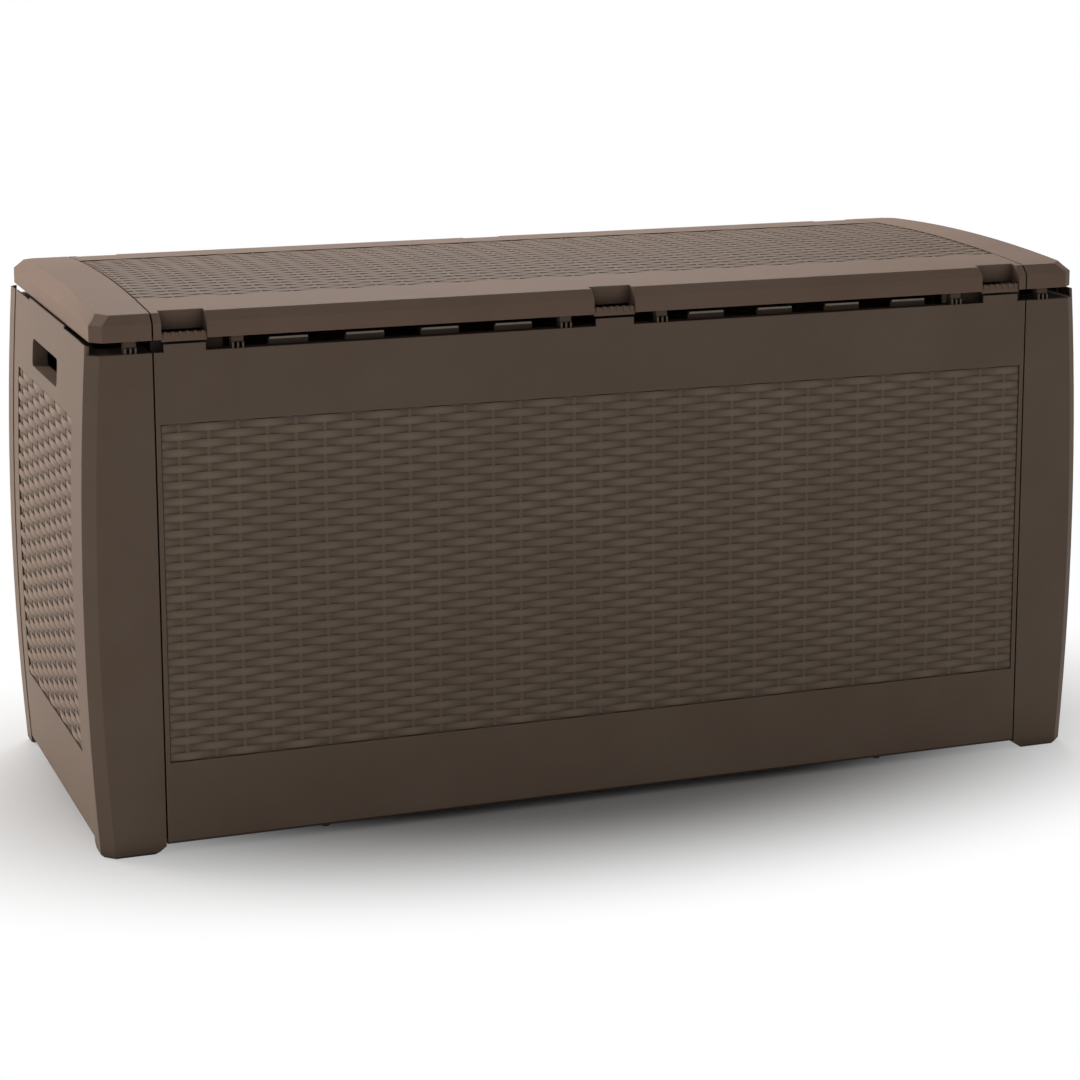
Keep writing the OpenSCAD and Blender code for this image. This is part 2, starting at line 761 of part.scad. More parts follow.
module lid_centre_panel() {
    edge = seam_x - seam_gap / 2;
    color(resin) difference() {
        union() {
            difference() {
                along_x(-edge, edge) centre_section();
                for (x = recess_places) translate([x, 0, 0]) mirrored_y() recess_void();
            }
            for (x = recess_places) translate([x, 0, 0]) {
                mirrored_y() recess_walls();
                along_x(-knuckle_w / 2, knuckle_w / 2) knuckle_section();
            }
            intersection() {
                lid_screw_places() translate([0, 0, liner_top - liner_z])
                    cylinder(h = far, r = boss_r, $fn = round_fn);
                along_x(-edge, edge) lid_section(lid_t / 2);
            }
        }
        lid_screw_places() screw_hole(lid_screw_l);
        pin_bores();
        for (x = recess_places) {
            peg_slot(x, fit);
            block([x - recess_w / 2, front(recess_d - past), lid_z - past],
                [x + recess_w / 2, front(recess_d + lid_t + past), strip_z + strip_h + slot_rise]);
        }
    }
}

// End cap in the right position: skin, skirts, a web at the seam, and tongues under the panel.
module end_cap() {
    edge = seam_x + seam_gap / 2;
    tongue_drop = lid_t + lid_inset_d + fit;
    difference() {
        union() {
            difference() {
                cap_form(0, lid_z);
                cap_form(lid_t, lid_z - past);
            }
            intersection() {
                cap_form(lid_t / 2, lid_z);
                union() {
                    block([edge, -body_w, web_z], [edge + lid_t, body_w, 2 * body_h]);
                    lid_screw_places() translate([0, 0, liner_top - liner_z])
                        cylinder(h = far, r = boss_r, $fn = round_fn);
                }
                block([edge, -body_w, 0], [body_l, body_w, 2 * body_h]);
            }
            intersection() {
                along_x(edge - lid_tongue_l, edge + lid_t) difference() {
                    lid_section(tongue_drop);
                    lid_section(tongue_drop + lid_t);
                }
                for (y = cap_screw_y)
                    block([edge - lid_tongue_l, y - lid_tongue_w / 2, web_z],
                        [edge + lid_t, y + lid_tongue_w / 2, 2 * body_h]);
            }
        }
        lid_screw_places() screw_hole(lid_screw_l);
    }
}

module lid_left_cap() {
    color(resin) mirror([1, 0, 0]) end_cap();
}

module lid_right_cap() {
    color(resin) end_cap();
}

// Liner: a plate that closes the underside, with ribs above it and the lid's lugs below.
module lid_liner() {
    rib_y1 = cap_screw_y[len(cap_screw_y) - 1];
    rib_x1 = cap_screw_x - boss_r - liner_rib_gap;
    difference() {
        color(liner_resin) union() {
            difference() {
                intersection() {
                    mirrored_x() lid_form(lid_t + fit, 0, liner_z);
                    block([-body_l, -body_w, liner_z], [body_l, body_w, liner_top]);
                }
                for (x = recess_places) translate([x, 0, 0]) mirrored_y()
                    block([-recess_w / 2 - lid_t - fit, front(-past), lid_z - past],
                        [recess_w / 2 + lid_t + fit, front(recess_d + lid_t + fit), lid_top]);
            }
            for (y = cap_screw_y)
                block([-rib_x1, y - rib_t / 2, liner_z], [rib_x1, y + rib_t / 2, liner_rib_z]);
            for (x = rib_x)
                block([x - rib_t / 2, -rib_y1, liner_z], [x + rib_t / 2, rib_y1, liner_rib_z]);
            for (x = rest_x) {
                block([x - rest_w / 2, front(lug_y0), body_h + rest_h + fit],
                    [x + rest_w / 2, front(rest_y1), liner_z + fit]);
                block([x - rest_w / 2, -front(rest_y1), body_h + rest_h + fit],
                    [x + rest_w / 2, -front(rear_rest_y0), liner_z + fit]);
            }
        }
        lid_screw_places() screw_hole(liner_t);
    }
}

module lid_screws() {
    color(steel) lid_screw_places() screw(lid_screw_l);
}

// Grip strip: closes the foot of a front recess, with grip ribs over its top edge and a peg into
// each cheek.
module grip_strip(x) {
    grip_pitch = (recess_w - 2 * fit) / grip_ribs;
    color(resin) {
        block([x - recess_w / 2 + fit, front(strip_face), strip_z],
            [x + recess_w / 2 - fit, front(strip_d), strip_z + strip_h]);
        for (i = [0.5 - grip_ribs / 2 : grip_ribs / 2])
            block([x + i * grip_pitch - grip_w / 2, front(strip_face - grip_out),
                    strip_z + strip_h / 2],
                [x + i * grip_pitch + grip_w / 2, front(strip_d - strip_face),
                    strip_z + strip_h + grip_out]);
        intersection() {
            peg_slot(x, 0);
            block([x - recess_w / 2 - lid_t / 2, -body_w, 0],
                [x + recess_w / 2 + lid_t / 2, body_w, 2 * body_h]);
        }
    }
}

module grip_strip_left() {
    grip_strip(-recess_x);
}

module grip_strip_centre() {
    grip_strip(0);
}

module grip_strip_right() {
    grip_strip(recess_x);
}

// Hinge pin through both ears and the knuckle, with a small head at its right end.
module hinge_pin(x) {
    reach = knuckle_w / 2 + knuckle_gap + ear_w;
    lip = 1.5;
    color(steel) translate([x, hinge_y, hinge_z]) rotate([0, 90, 0]) {
        translate([0, 0, -reach - lip]) cylinder(h = 2 * reach + lip + fit, r = pin_r, $fn = round_fn);
        translate([0, 0, reach + fit]) cylinder(h = lip, r = pin_r + lip, $fn = round_fn);
    }
}

module hinge_pin_left() {
    hinge_pin(-recess_x);
}

module hinge_pin_centre() {
    hinge_pin(0);
}

module hinge_pin_right() {
    hinge_pin(recess_x);
}

floor_panel();
front_wall();
rear_wall();
left_end_wall();
right_end_wall();
front_left_post();
front_right_post();
rear_left_post();
rear_right_post();
edge_clips();
floor_screws();
wall_screws();
lid_centre_panel();
lid_left_cap();
lid_right_cap();
lid_liner();
lid_screws();
grip_strip_left();
grip_strip_centre();
grip_strip_right();
hinge_pin_left();
hinge_pin_centre();
hinge_pin_right();
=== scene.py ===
import math

import bpy
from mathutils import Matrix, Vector


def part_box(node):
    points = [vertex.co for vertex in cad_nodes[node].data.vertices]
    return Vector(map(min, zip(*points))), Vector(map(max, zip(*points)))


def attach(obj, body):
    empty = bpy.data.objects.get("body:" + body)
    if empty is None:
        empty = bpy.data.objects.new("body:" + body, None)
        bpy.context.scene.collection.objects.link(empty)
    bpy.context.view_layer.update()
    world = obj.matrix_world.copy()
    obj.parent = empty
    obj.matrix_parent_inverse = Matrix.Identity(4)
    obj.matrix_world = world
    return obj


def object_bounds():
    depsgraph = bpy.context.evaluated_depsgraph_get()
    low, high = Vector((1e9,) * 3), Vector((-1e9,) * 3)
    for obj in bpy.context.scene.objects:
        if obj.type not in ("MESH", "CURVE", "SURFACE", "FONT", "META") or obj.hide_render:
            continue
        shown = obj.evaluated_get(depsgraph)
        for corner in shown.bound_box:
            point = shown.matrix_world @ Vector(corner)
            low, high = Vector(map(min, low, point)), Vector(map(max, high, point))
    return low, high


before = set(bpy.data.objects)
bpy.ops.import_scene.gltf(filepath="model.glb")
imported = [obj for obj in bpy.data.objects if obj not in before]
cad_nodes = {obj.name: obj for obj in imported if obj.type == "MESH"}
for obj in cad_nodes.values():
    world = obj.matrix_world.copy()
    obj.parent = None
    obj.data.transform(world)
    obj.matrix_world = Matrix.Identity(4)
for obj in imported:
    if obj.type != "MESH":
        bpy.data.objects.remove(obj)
cad_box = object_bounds()
bpy.ops.object.select_all(action="DESELECT")

# ---------------------------------------------------------------------------
# Camera: a long lens a little left of the front, about a metre high. Its frame
# is shifted, because the box sits low and left in it.
# ---------------------------------------------------------------------------
bpy.ops.object.camera_add(
    location=(-1.136733, -3.175676, 1.065965),
    rotation=(1.3767955, -0.0029437, -0.3754216),
)
camera = bpy.context.object
camera.name = "studio_camera"
camera.data.sensor_width = 36
camera.data.lens = 95.281
camera.data.shift_x = -0.08613
camera.data.shift_y = -0.11367
camera.data.clip_start = 0.05
camera.data.clip_end = 60
bpy.context.scene.camera = camera
bpy.context.scene.view_settings.view_transform = "Standard"

# ---------------------------------------------------------------------------
# Studio floor: matt pale paint with faint scuffs. It keeps the box's shadow,
# and runs out to plain white on an oval around the box.
# ---------------------------------------------------------------------------
def linear(hex_colour):
    """Linear red, green, blue and alpha of an sRGB hex colour."""
    parts = [int(hex_colour[i:i + 2], 16) / 255 for i in (1, 3, 5)]
    bent = [p / 12.92 if p <= 0.04045 else ((p + 0.055) / 1.055) ** 2.4 for p in parts]
    return (*bent, 1.0)


def add_node(tree, kind, settings=None, links=None):
    """Adds one node, sets its properties or inputs, and links its inputs to other outputs."""
    node = tree.nodes.new(kind)
    for name, value in (settings or {}).items():
        if isinstance(name, int) or name in node.inputs:
            node.inputs[name].default_value = value
        else:
            setattr(node, name, value)
    for name, source in (links or {}).items():
        tree.links.new(source, node.inputs[name])
    return node


scuffs_per_metre = 9.0
oval_squeeze = 0.62
white_from = 0.25
white_to = 0.62

bpy.ops.mesh.primitive_plane_add(size=24, location=(0, 0, 0))
floor = bpy.context.object
floor.name = "studio_floor"
floor_paint = bpy.data.materials.new("matt_floor_paint")
floor_paint.use_nodes = True
tree = floor_paint.node_tree
tree.nodes.clear()
place = add_node(tree, "ShaderNodeTexCoord")
scuffs = add_node(tree, "ShaderNodeTexNoise", {"Scale": scuffs_per_metre, "Detail": 4.0},
                  {"Vector": place.outputs["Object"]})
paint_colour = add_node(tree, "ShaderNodeValToRGB", links={"Fac": scuffs.outputs["Fac"]})
paint_colour.color_ramp.elements[0].color = linear("#dcdbd9")
paint_colour.color_ramp.elements[1].color = linear("#e4e3e1")
paint = add_node(tree, "ShaderNodeBsdfDiffuse", links={"Color": paint_colour.outputs["Color"]})
white = add_node(tree, "ShaderNodeEmission", {"Color": linear("#ffffff"), "Strength": 1.0})
oval = add_node(tree, "ShaderNodeMapping", {"Scale": (oval_squeeze, 1.0, 1.0)},
                {"Vector": place.outputs["Object"]})
reach = add_node(tree, "ShaderNodeVectorMath", {"operation": "LENGTH"}, {0: oval.outputs["Vector"]})
fade = add_node(tree, "ShaderNodeMapRange",
                {"interpolation_type": "SMOOTHSTEP", "From Min": white_from, "From Max": white_to},
                {"Value": reach.outputs["Value"]})
light_path = add_node(tree, "ShaderNodeLightPath")
mirrored = add_node(tree, "ShaderNodeMath", {"operation": "MAXIMUM"},
                    {0: light_path.outputs["Is Glossy Ray"],
                     1: light_path.outputs["Is Transmission Ray"]})
seen = add_node(tree, "ShaderNodeMath", {"operation": "MAXIMUM"},
                {0: light_path.outputs["Is Camera Ray"], 1: mirrored.outputs["Value"]})
share = add_node(tree, "ShaderNodeMath", {"operation": "MULTIPLY"},
                 {0: seen.outputs["Value"], 1: fade.outputs["Result"]})
ground = add_node(tree, "ShaderNodeMixShader",
                  links={0: share.outputs["Value"], 1: paint.outputs["BSDF"],
                         2: white.outputs["Emission"]})
add_node(tree, "ShaderNodeOutputMaterial", links={"Surface": ground.outputs["Shader"]})
floor.data.materials.append(floor_paint)

# ---------------------------------------------------------------------------
# Room: soft grey light from all round, dimmer toward the ceiling. Behind the
# box it is white, and glossy surfaces mirror that white from a low band only.
# ---------------------------------------------------------------------------
room_light_low = 0.31
room_light_high = 0.15
band_white_below = 0.02
band_gone_above = 0.12

surround = bpy.data.worlds.new("white_surround")
bpy.context.scene.world = surround
surround.use_nodes = True
tree = surround.node_tree
tree.nodes.clear()
light_path = add_node(tree, "ShaderNodeLightPath")
mirrored = add_node(tree, "ShaderNodeMath", {"operation": "MAXIMUM"},
                    {0: light_path.outputs["Is Glossy Ray"],
                     1: light_path.outputs["Is Transmission Ray"]})
place = add_node(tree, "ShaderNodeTexCoord")
height = add_node(tree, "ShaderNodeSeparateXYZ", links={"Vector": place.outputs["Generated"]})
low_band = add_node(tree, "ShaderNodeMapRange",
                    {"From Min": band_white_below, "From Max": band_gone_above,
                     "To Min": 1.0, "To Max": 0.0},
                    {"Value": height.outputs["Z"]})
reflected = add_node(tree, "ShaderNodeMath", {"operation": "MULTIPLY"},
                     {0: mirrored.outputs["Value"], 1: low_band.outputs["Result"]})
seen = add_node(tree, "ShaderNodeMath", {"operation": "MAXIMUM"},
                {0: light_path.outputs["Is Camera Ray"], 1: reflected.outputs["Value"]})
room = add_node(tree, "ShaderNodeMapRange", {"To Min": room_light_low, "To Max": room_light_high},
                {"Value": height.outputs["Z"]})
strength = add_node(tree, "ShaderNodeMapRange", {"To Max": 1.0},
                    {"Value": seen.outputs["Value"], "To Min": room.outputs["Result"]})
sky = add_node(tree, "ShaderNodeBackground", {"Color": linear("#ffffff")},
               {"Strength": strength.outputs["Result"]})
add_node(tree, "ShaderNodeOutputWorld", links={"Surface": sky.outputs["Background"]})

# ---------------------------------------------------------------------------
# Lamps: two large softboxes behind the box, a white one overhead that lights the
# lid, and a slightly warm one at the left that lights the left end.
# ---------------------------------------------------------------------------
def softbox(name, spot, aim, width, height, watts, tint):
    """A rectangular softbox at spot that faces aim."""
    turn = (Vector(spot) - Vector(aim)).to_track_quat("Z", "Y")
    bpy.ops.object.light_add(type="AREA", location=spot)
    box = bpy.context.object
    box.name = name
    box.rotation_euler = turn.to_euler()
    box.data.shape = "RECTANGLE"
    box.data.size = width
    box.data.size_y = height
    box.data.energy = watts
    box.data.color = linear(tint)[:3]


softbox("softbox_over_the_rear", spot=(0.6, 2.35, 3.1), aim=(0, 0, 0.5),
        width=2.4, height=1.4, watts=88, tint="#ffffff")
softbox("softbox_left_rear", spot=(-2.9, 2.4, 1.5), aim=(-0.6, 0, 0.35),
        width=1.6, height=1.6, watts=86, tint="#fff5ef")

# ---------------------------------------------------------------------------
# Posts and walls: injection-moulded polypropylene in a dark mocha brown, off a
# spark-eroded tool that leaves a fine grain and a dull, waxy sheen. Its edges
# get a painted highlight that also stands for rubbing, narrow gaps get painted
# shade, and the flow leaves faint clouds.
# ---------------------------------------------------------------------------
# The real grain is near 0.3 mm. Each grain_mm is coarser, so that it shows.
cloud_mm = 90
resin_ior = 1.49
resin_specular = 0.12
edge_round = 0.0016
# How far the painted gap shade looks for nearby surfaces, and its dark colour.
shade_reach = 0.03
painted_gap_shade = "#42362f"
# Colour of the painted highlight along edges, which also stands for rubbing.
edge_highlight_and_rub = "#a8917f"


def moulded_resin(name, dark, pale, grain_mm, grain_depth_mm, roughness, highlight_colour=None):
    """Polypropylene with clouds and grain; given a highlight colour, a painted highlight of it
    along the edges and painted shade in gaps.
    """
    material = bpy.data.materials.new(name)
    material.use_nodes = True
    tree = material.node_tree
    tree.nodes.clear()
    place = add_node(tree, "ShaderNodeTexCoord")
    clouds = add_node(tree, "ShaderNodeTexNoise",
                      {"Scale": 1000 / cloud_mm, "Detail": 5.0, "Roughness": 0.55},
                      {"Vector": place.outputs["Object"]})
    colour = add_node(tree, "ShaderNodeValToRGB", links={"Fac": clouds.outputs["Fac"]})
    colour.color_ramp.elements[0].position = 0.32
    colour.color_ramp.elements[0].color = linear(dark)
    colour.color_ramp.elements[1].position = 0.68
    colour.color_ramp.elements[1].color = linear(pale)
    grain = add_node(tree, "ShaderNodeTexNoise",
                     {"Scale": 1000 / grain_mm, "Detail": 3.0, "Roughness": 0.6},
                     {"Vector": place.outputs["Object"]})
    relief = add_node(tree, "ShaderNodeBump", {"Strength": 0.5, "Distance": grain_depth_mm / 1000},
                      {"Height": grain.outputs["Fac"]})
    dull = add_node(tree, "ShaderNodeMapRange",
                    {"To Min": roughness - 0.05, "To Max": roughness + 0.07},
                    {"Value": clouds.outputs["Fac"]})
    skin = add_node(tree, "ShaderNodeBsdfPrincipled",
                    {"IOR": resin_ior, "Specular IOR Level": resin_specular},
                    {"Base Color": colour.outputs["Color"], "Roughness": dull.outputs["Result"],
                     "Normal": relief.outputs["Normal"]})
    if highlight_colour:
        # Painted highlight: the colour turns paler along every edge, where the rounded normal leans
        # away from the face; it also stands for rubbing.
        round_edge = add_node(tree, "ShaderNodeBevel", {"samples": 6, "Radius": edge_round})
        tree.links.new(round_edge.outputs["Normal"], relief.inputs["Normal"])
        surface = add_node(tree, "ShaderNodeNewGeometry")
        turned = add_node(tree, "ShaderNodeVectorMath", {"operation": "DOT_PRODUCT"},
                          {0: round_edge.outputs["Normal"], 1: surface.outputs["Normal"]})
        highlight_share = add_node(tree, "ShaderNodeMapRange",
                       {"From Min": 0.98, "From Max": 0.92, "To Max": 0.6},
                       {"Value": turned.outputs["Value"]})
        highlighted = add_node(tree, "ShaderNodeMixRGB", {"Color2": linear(highlight_colour)},
                          {"Fac": highlight_share.outputs["Result"], "Color1": colour.outputs["Color"]})
        # Painted shade: the colour darkens toward a dark brown where ambient occlusion finds
        # surfaces nearby, in narrow gaps and under the lid.
        occlusion = add_node(tree, "ShaderNodeAmbientOcclusion", {"samples": 8, "Distance": shade_reach})
        unshaded_share = add_node(tree, "ShaderNodeMapRange", {"From Min": 0.2, "From Max": 0.8},
                         {"Value": occlusion.outputs["AO"]})
        gap_shaded = add_node(tree, "ShaderNodeMixRGB", {"Color1": linear(painted_gap_shade)},
                          {"Fac": unshaded_share.outputs["Result"], "Color2": highlighted.outputs["Color"]})
        tree.links.new(gap_shaded.outputs["Color"], skin.inputs["Base Color"])
    add_node(tree, "ShaderNodeOutputMaterial", links={"Surface": skin.outputs["BSDF"]})
    return material


def coat(nodes, material):
    """Gives CAD nodes a material through their slots."""
    for node in nodes:
        for slot in cad_nodes[node].material_slots:
            slot.material = material


wall_resin = moulded_resin("moulded_polypropylene_wall", "#857263", "#8b796a",
                           grain_mm=1.6, grain_depth_mm=0.12, roughness=0.58, highlight_colour=edge_highlight_and_rub)
coat(("front_wall", "rear_wall", "left_end_wall", "right_end_wall"), wall_resin)
coat(("front_left_post", "front_right_post", "rear_left_post", "rear_right_post"), wall_resin)

# ---------------------------------------------------------------------------
# Front and rear weave: moulded into the sunk field of each long wall. Crowned
# strands run along the wall, over one stake and under the next. Their tops
# carry a painted highlight, and the hollows painted shade.
# ---------------------------------------------------------------------------
same_place = 1e-5
field_gap = 0.0012
strand_gap = 0.0002
strand_foot = 0.0003
strand_cuts = 7
stake_width = 0.0050
stake_cuts = 15
smooth_below = math.radians(35)


def choose(obj, wanted):
    """In edit mode, selects only the vertices whose place passes the test wanted."""
    bpy.ops.mesh.select_mode(type="VERT")
    bpy.ops.mesh.select_all(action="DESELECT")
    bpy.ops.object.mode_set(mode="OBJECT")
    for vertex in obj.data.vertices:
        vertex.select = wanted(vertex.co)
    bpy.ops.object.mode_set(mode="EDIT")


def choose_edges(obj, wanted):
    """In edit mode, selects only the edges whose two ends pass the test wanted."""
    bpy.ops.mesh.select_mode(type="EDGE")
    bpy.ops.mesh.select_all(action="DESELECT")
    bpy.ops.object.mode_set(mode="OBJECT")
    for edge in obj.data.edges:
        start = obj.data.vertices[edge.vertices[0]].co
        end = obj.data.vertices[edge.vertices[1]].co
        edge.select = wanted(start, end)
    bpy.ops.object.mode_set(mode="EDIT")


def choose_faces(obj, wanted):
    """In edit mode, selects only the faces whose normal passes the test wanted."""
    bpy.ops.mesh.select_mode(type="FACE")
    bpy.ops.mesh.select_all(action="DESELECT")
    bpy.ops.object.mode_set(mode="OBJECT")
    for face in obj.data.polygons:
        face.select = wanted(face.normal)
    bpy.ops.object.mode_set(mode="EDIT")


def strip(name, length, width, thickness, edge_drop, cuts):
    """A strip along x, open at both ends, whose crowned top has its ridge at z = 0."""
    bpy.ops.mesh.primitive_cube_add(size=1, location=(0, 0, -thickness / 2),
                                    scale=(length, width, thickness))
    bpy.ops.object.transform_apply(location=True, rotation=False, scale=True)
    piece = bpy.context.object
    piece.name = name
    bpy.ops.object.mode_set(mode="EDIT")
    choose_faces(piece, lambda normal: abs(normal.x) > 0.9)
    bpy.ops.mesh.delete(type="ONLY_FACE")
    choose_edges(piece, lambda a, b: a.z > -same_place and abs(a.y - b.y) > width / 2)
    bpy.ops.mesh.subdivide(number_cuts=3)
    for side_share in (0.5, 1.0):
        side = side_share * width / 2
        drop = side_share ** 2 * edge_drop
        choose(piece, lambda co: co.z > -same_place and abs(abs(co.y) - side) < same_place)
        bpy.ops.transform.translate(value=(0, 0, -drop))
    choose_edges(piece, lambda a, b: abs(a.x - b.x) > length / 2)
    bpy.ops.mesh.subdivide(number_cuts=cuts)
    bpy.ops.object.mode_set(mode="OBJECT")
    return piece


def repeat(piece, count, step):
    """Copies a piece in a row with an applied Array modifier, and merges what meets."""
    array = piece.modifiers.new("row", "ARRAY")
    array.count = count
    array.use_relative_offset = False
    array.use_constant_offset = True
    array.constant_offset_displace = step
    array.use_merge_vertices = True
    array.merge_threshold = same_place
    bpy.ops.object.modifier_apply(modifier=array.name)


def woven_strands(name, field_width, rows, stakes, stake_pitch, low, high, edge_drop, rise):
    """The strands of a relief, one for each row, each waving between low and high."""
    row_pitch = (field_width - 2 * field_gap) / rows
    wave = strip(name + "_strand", 2 * stake_pitch, row_pitch - strand_gap,
                 high - low + strand_foot, edge_drop=edge_drop, cuts=strand_cuts)
    bpy.ops.object.mode_set(mode="EDIT")
    for step in range(strand_cuts + 2):
        at = -stake_pitch + step * 2 * stake_pitch / (strand_cuts + 1)
        sink = (high - low) * (0.5 - 0.5 * math.cos(math.pi * at / stake_pitch))
        choose(wave, lambda co: abs(co.x - at) < same_place)
        bpy.ops.transform.translate(value=(0, 0, -sink))
    bpy.ops.object.mode_set(mode="OBJECT")
    waves = stakes // 2 + 2
    repeat(wave, waves, (2 * stake_pitch, 0, 0))
    wave.location = (-(waves - 1) * stake_pitch, 0, 0)
    bpy.ops.object.transform_apply(location=True, rotation=False, scale=False)

    strands = []
    probe = 0.001
    for row in range(rows):
        y = (row - (rows - 1) / 2) * row_pitch
        side = stake_pitch / 2 if row % 2 else -stake_pitch / 2
        strand = wave.copy()
        strand.data = wave.data.copy()
        bpy.context.collection.objects.link(strand)
        slope = math.atan((rise(y + probe) - rise(y - probe)) / (2 * probe))
        strand.location = (side, y, rise(y) + high)
        strand.rotation_euler = (slope, 0, 0)
        strands.append(strand)
    bpy.data.objects.remove(wave)
    return strands


def woven_stakes(name, field_width, stakes, stake_pitch, stake_top, rise):
    """The stakes of a relief in one piece, each a crowned strip across the strands."""
    half_width = field_width / 2 - field_gap
    stake = strip(name + "_stake", 2 * half_width, stake_width, stake_top,
                  edge_drop=stake_top / 2, cuts=stake_cuts)
    stake.rotation_euler = (0, 0, math.pi / 2)
    bpy.ops.object.transform_apply(location=False, rotation=True, scale=False)
    bpy.ops.object.mode_set(mode="EDIT")
    for step in range(stake_cuts + 2):
        at = -half_width + step * 2 * half_width / (stake_cuts + 1)
        choose(stake, lambda co: abs(co.y - at) < same_place)
        bpy.ops.transform.translate(value=(0, 0, rise(at) + stake_top))
    bpy.ops.object.mode_set(mode="OBJECT")
    repeat(stake, stakes, (stake_pitch, 0, 0))
    stake.location = (-(stakes - 1) * stake_pitch / 2, 0, 0)
    return stake


def woven_panel(name, field_length, field_width, rows, stakes, stake_pitch, stake_top,
                low, high, edge_drop, rise):
    """A woven relief in the xy plane, strands along x; rise(y) is its floor's height along y."""
    strands = woven_strands(name, field_width, rows, stakes, stake_pitch,
                            low, high, edge_drop, rise)
    stake_row = woven_stakes(name, field_width, stakes, stake_pitch, stake_top, rise)
    bpy.ops.object.select_all(action="DESELECT")
    for piece in strands + [stake_row]:
        piece.select_set(True)
    bpy.context.view_layer.objects.active = stake_row
    bpy.ops.object.transform_apply(location=True, rotation=True, scale=False)
    bpy.ops.object.join()
    panel = bpy.context.object
    panel.name = name
    bpy.ops.object.mode_set(mode="EDIT")
    for side in (-1, 1):
        bpy.ops.mesh.select_all(action="SELECT")
        bpy.ops.mesh.bisect(plane_co=(side * (field_length / 2 - field_gap), 0, 0),
                            plane_no=(side, 0, 0), clear_outer=True, use_fill=True)
    bpy.ops.mesh.select_mode(type="EDGE")
    bpy.ops.mesh.select_all(action="DESELECT")
    bpy.ops.mesh.select_non_manifold()
    bpy.ops.mesh.fill_holes(sides=0)
    bpy.ops.mesh.select_all(action="SELECT")
    bpy.ops.mesh.normals_make_consistent(inside=False)
    bpy.ops.object.mode_set(mode="OBJECT")
    bpy.ops.object.shade_smooth_by_angle(angle=smooth_below)
    lift = panel.data.attributes.new("lift", "FLOAT", "POINT")
    for vertex in panel.data.vertices:
        lift.data[vertex.index].value = (vertex.co.z - rise(vertex.co.y)) / high
    return panel


def stand(piece, place, turn):
    """Turns and moves a finished panel to its place, with the result in its mesh."""
    bpy.ops.object.select_all(action="DESELECT")
    piece.select_set(True)
    bpy.context.view_layer.objects.active = piece
    piece.location = place
    piece.rotation_euler = turn
    bpy.ops.object.transform_apply(location=True, rotation=True, scale=False)


def woven_resin(name, hollow_shade, dark, pale):
    """Polypropylene off a woven tool, with a painted highlight on top of the strands and painted
    shade in the hollows.
    """
    material = moulded_resin(name, dark, pale, grain_mm=1.2, grain_depth_mm=0.10, roughness=0.56)
    tree = material.node_tree
    # Painted shade and highlight: the colour runs from the hollow colour at the relief's floor to
    # the full strand colour on the strands' tops.
    lift = add_node(tree, "ShaderNodeAttribute", {"attribute_name": "lift"})
    unshaded_share = add_node(tree, "ShaderNodeMapRange", {"From Min": 0.1, "From Max": 1.0},
                     {"Value": lift.outputs["Fac"]})
    shaded_in_hollows = add_node(tree, "ShaderNodeMixRGB", {"Color1": linear(hollow_shade)},
                     {"Fac": unshaded_share.outputs["Result"],
                      "Color2": tree.nodes["Color Ramp"].outputs["Color"]})
    tree.links.new(shaded_in_hollows.outputs["Color"], tree.nodes["Principled BSDF"].inputs["Base Color"])
    return material


def flat(y):
    """The long walls' fields are flat."""
    return 0.0


field_height = 0.373
field_middle = 0.2885
long_field_depth = 0.0025
# The hollow colour is painted shade; the strand colours, paler than the wall's resin, are a painted
# highlight on the tops.
long_weave_resin = woven_resin("moulded_polypropylene_long_weave",
                               hollow_shade="#827365", dark="#9c8876", pale="#a99583")
for name, node, side in (("front_weave", "front_wall", -1), ("rear_weave", "rear_wall", 1)):
    weave = woven_panel(name, field_length=1.029, field_width=field_height, rows=42,
                        stakes=32, stake_pitch=0.0319, stake_top=0.0010,
                        low=0.0004, high=0.0023, edge_drop=0.0009, rise=flat)
    low_corner, high_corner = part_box(node)
    face = low_corner.y if side < 0 else high_corner.y
    half_turn = 0 if side < 0 else math.pi
    stand(weave, (0, face - side * long_field_depth, field_middle), (math.pi / 2, 0, half_turn))
    weave.data.materials.append(long_weave_resin)
    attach(weave, "box")

# ---------------------------------------------------------------------------
# End weave: the same resin moulded into the bowed field under each hand hole.
# The strands follow the wall's bow, and stand higher than on the long walls.
# ---------------------------------------------------------------------------
end_bow_radius = 3.814
end_bow_height = 0.276
end_bow_reach = 0.600
end_field_depth = 0.0033


def end_bow(y):
    """How far the end wall's floor drops back at a height y above the field's middle."""
    above_crest = y + field_middle - end_bow_height
    return math.sqrt(end_bow_radius ** 2 - above_crest ** 2) - end_bow_radius


# The hollow colour is painted shade; the strand colours, paler than the wall's resin, are a painted
# highlight on the tops.
end_weave_resin = woven_resin("moulded_polypropylene_end_weave",
                              hollow_shade="#706154", dark="#9c8674", pale="#a89382")
for name, side in (("left_end_weave", -1), ("right_end_weave", 1)):
    weave = woven_panel(name, field_length=0.333, field_width=field_height, rows=40,
                        stakes=10, stake_pitch=0.0343, stake_top=0.0012,
                        low=0.0003, high=0.0031, edge_drop=0.0012, rise=end_bow)
    stand(weave, (side * (end_bow_reach - end_field_depth), 0, field_middle),
          (math.pi / 2, 0, side * math.pi / 2))
    weave.data.materials.append(end_weave_resin)
    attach(weave, "box")

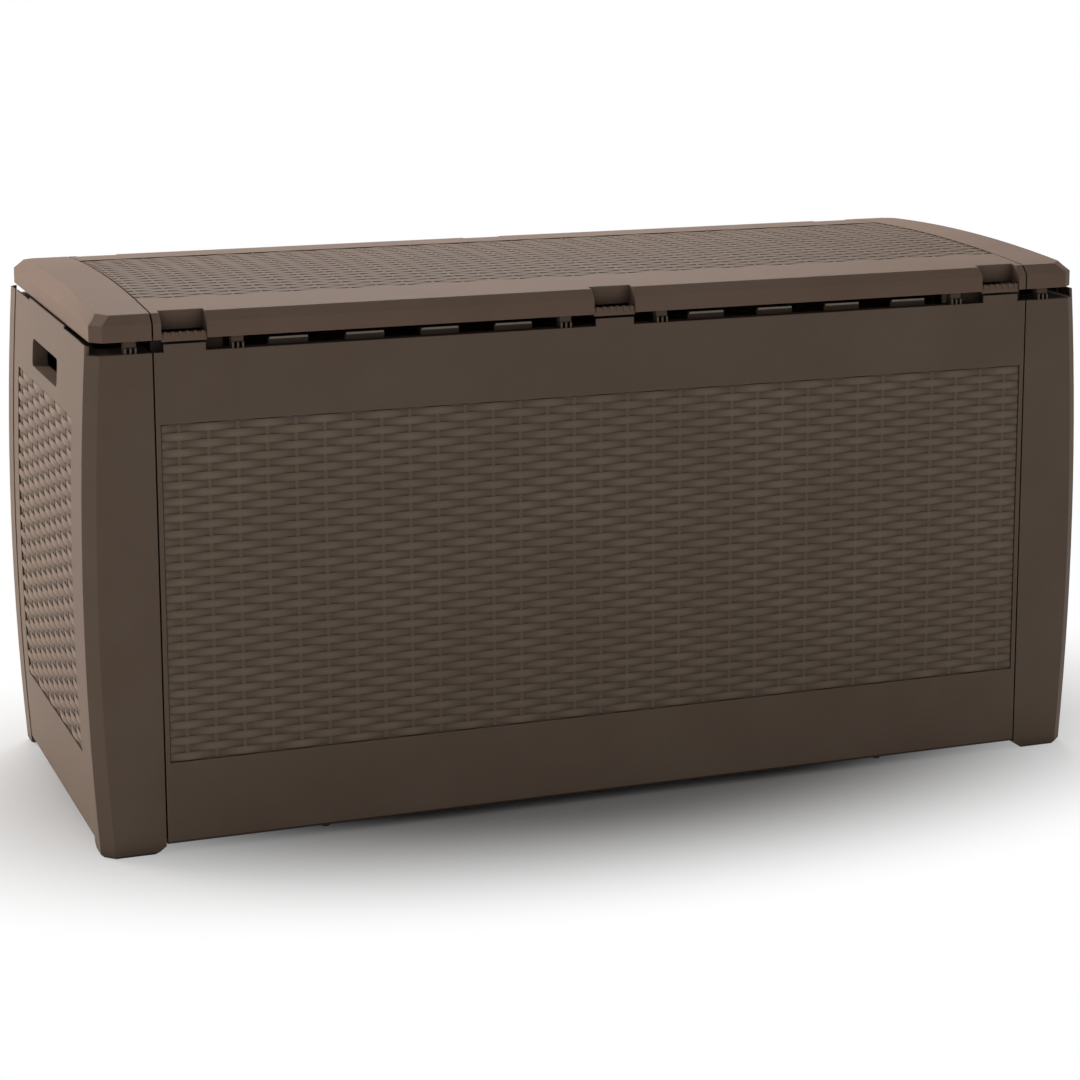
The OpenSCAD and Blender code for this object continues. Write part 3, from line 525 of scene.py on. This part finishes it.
# ---------------------------------------------------------------------------
# Lid: the centre panel, its two end caps and the three grip strips, moulded in
# the same resin a shade warmer, from a tool with a shallower grain.
# ---------------------------------------------------------------------------
# Like the walls, its edges get a painted highlight and its gaps painted shade.
lid_resin = moulded_resin("moulded_polypropylene_lid", "#8f7767", "#967f6f",
                          grain_mm=1.6, grain_depth_mm=0.10, roughness=0.58, highlight_colour=edge_highlight_and_rub)
coat(("lid_centre_panel", "lid_left_cap", "lid_right_cap"), lid_resin)
coat(("grip_strip_left", "grip_strip_centre", "grip_strip_right"), lid_resin)

# ---------------------------------------------------------------------------
# Lid weave: moulded into the sunk field of the crowned top, as wide in its rows
# as on the walls but flatter. It follows the crown and rides on the lid.
# ---------------------------------------------------------------------------
crown_radius = 3.339
lid_top = cad_box[1].z
lid_field_depth = 0.002


def crown(y):
    """How far the lid's top drops at a distance y from its middle line."""
    return math.sqrt(crown_radius ** 2 - y ** 2) - crown_radius


# The hollow colour is painted shade in the weave's hollows.
lid_weave_resin = woven_resin("moulded_polypropylene_lid_weave",
                              hollow_shade="#685649", dark="#8e7767", pale="#998473")
lid_weave = woven_panel("lid_weave", field_length=1.039, field_width=0.320, rows=36,
                        stakes=32, stake_pitch=0.0329, stake_top=0.0012,
                        low=0.0009, high=0.0018, edge_drop=0.0006, rise=crown)
stand(lid_weave, (0, 0, lid_top - lid_field_depth), (0, 0, 0))
lid_weave.data.materials.append(lid_weave_resin)
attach(lid_weave, "lid")

# ---------------------------------------------------------------------------
# Liner and floor: plain inside plates from the same resin with more regrind in
# it, so they are greyer and duller than the outside, with a coarser grain.
# ---------------------------------------------------------------------------
inner_resin = moulded_resin("moulded_polypropylene_inside", "#74645a", "#7c6b60",
                            grain_mm=2.2, grain_depth_mm=0.15, roughness=0.62)
coat(("lid_liner", "floor_panel"), inner_resin)

# ---------------------------------------------------------------------------
# Screws, hinge pins and the folded edge clips on the upstands: steel with zinc
# plating that has gone dull and brownish outdoors, in small patches.
# ---------------------------------------------------------------------------
patch_mm = 2.5

zinc_plate = bpy.data.materials.new("zinc_plated_steel")
zinc_plate.use_nodes = True
tree = zinc_plate.node_tree
tree.nodes.clear()
place = add_node(tree, "ShaderNodeTexCoord")
patches = add_node(tree, "ShaderNodeTexNoise", {"Scale": 1000 / patch_mm, "Detail": 3.0},
                   {"Vector": place.outputs["Object"]})
plate_colour = add_node(tree, "ShaderNodeValToRGB", links={"Fac": patches.outputs["Fac"]})
plate_colour.color_ramp.elements[0].color = linear("#75695f")
plate_colour.color_ramp.elements[1].color = linear("#8b7f75")
plate_dull = add_node(tree, "ShaderNodeMapRange", {"To Min": 0.45, "To Max": 0.6},
                      {"Value": patches.outputs["Fac"]})
plate_relief = add_node(tree, "ShaderNodeBump", {"Strength": 0.2, "Distance": 0.00005},
                        {"Height": patches.outputs["Fac"]})
plate = add_node(tree, "ShaderNodeBsdfPrincipled", {"Metallic": 1.0},
                 {"Base Color": plate_colour.outputs["Color"],
                  "Roughness": plate_dull.outputs["Result"],
                  "Normal": plate_relief.outputs["Normal"]})
add_node(tree, "ShaderNodeOutputMaterial", links={"Surface": plate.outputs["BSDF"]})
coat(("edge_clips", "floor_screws", "wall_screws", "lid_screws"), zinc_plate)
coat(("hinge_pin_left", "hinge_pin_centre", "hinge_pin_right"), zinc_plate)
